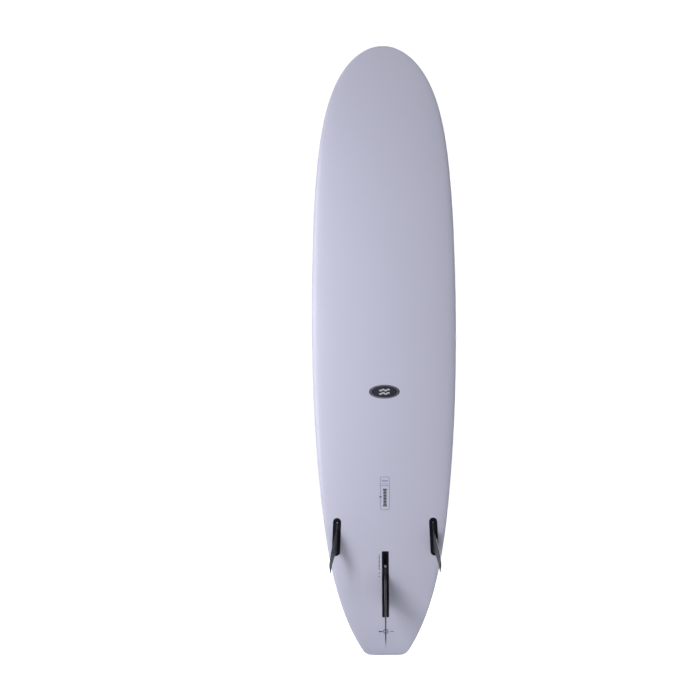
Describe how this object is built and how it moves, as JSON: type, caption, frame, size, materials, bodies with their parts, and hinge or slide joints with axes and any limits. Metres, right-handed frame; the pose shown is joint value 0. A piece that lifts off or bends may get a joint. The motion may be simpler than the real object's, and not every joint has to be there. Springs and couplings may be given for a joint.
{
  "type": "longboard surfboard",
  "caption": "Long wide surfboard with a rounded nose, a sliding centre fin in a long box, a pull-out fin near each rail and a leash plug on the deck.",
  "frame": {"origin": "on the floor under the middle of the board's box as it stands on its tail: the bottom centre of the bounding box", "axes": "+Z from the tail to the nose, along the board; -Y out of the deck, +Y out of the bottom, where the fins are; X across the board, -X on the rider's left"},
  "size_m": [0.5654, 0.278, 2.438],
  "materials": {
    "gloss_laminate": "satin pale grey-lavender laminate",
    "eps_foam": "white bead foam",
    "stringer_wood": "plain pale wood",
    "insert_foam": "dense tan foam",
    "box_plastic": "black moulded plastic",
    "fin_composite": "near-black moulded fin composite",
    "stainless": "stainless steel",
    "brass": "turned brass"
  },
  "bodies": {
    "board": {"deck_skin": "gloss_laminate", "bottom_skin": "gloss_laminate", "core_left": "eps_foam", "core_right": "eps_foam", "stringer": "stringer_wood", "center_fin_box": "box_plastic", "center_box_insert": "insert_foam", "left_fin_box": "box_plastic", "left_box_insert": "insert_foam", "right_fin_box": "box_plastic", "right_box_insert": "insert_foam", "leash_plug_cup": "box_plastic", "leash_plug_pin": "stainless", "leash_plug_insert": "insert_foam"},
    "center_fin_body": {"center_fin": "fin_composite", "center_fin_pin": "brass", "center_fin_plate": "stainless"},
    "center_screw_body": {"center_fin_screw": "stainless"},
    "left_fin_body": {"left_fin": "fin_composite"},
    "left_screw_body": {"left_fin_screw": "stainless"},
    "right_fin_body": {"right_fin": "fin_composite"},
    "right_screw_body": {"right_fin_screw": "stainless"}
  },
  "joints": [
    {"name": "center_fin_slide", "type": "slide", "parent": "board", "child": "center_fin_body", "axis": [0, 0.0937, 0.9956], "range_m": [-0.04, 0.04]},
    {"name": "center_screw_turn", "type": "hinge", "parent": "center_fin_body", "child": "center_screw_body", "pos_m": [0, -0.02407, 0.36368], "axis": [0, 0.9956, -0.0937], "range_deg": [0, 945]},
    {"name": "left_fin_lift", "type": "slide", "parent": "board", "child": "left_fin_body", "axis": [-0.1044, 0.9931, -0.0527], "range_m": [0, 0.03]},
    {"name": "left_screw_turn", "type": "hinge", "parent": "board", "child": "left_screw_body", "pos_m": [-0.18793, -0.01571, 0.53971], "axis": [-0.0747, 0.9245, 0.3737], "range_deg": [0, 765]},
    {"name": "right_fin_lift", "type": "slide", "parent": "board", "child": "right_fin_body", "axis": [0.1044, 0.9931, -0.0527], "range_m": [0, 0.03]},
    {"name": "right_screw_turn", "type": "hinge", "parent": "board", "child": "right_screw_body", "pos_m": [0.18793, -0.01571, 0.53971], "axis": [0.0747, 0.9245, 0.3737], "range_deg": [0, 765]}
  ]
}
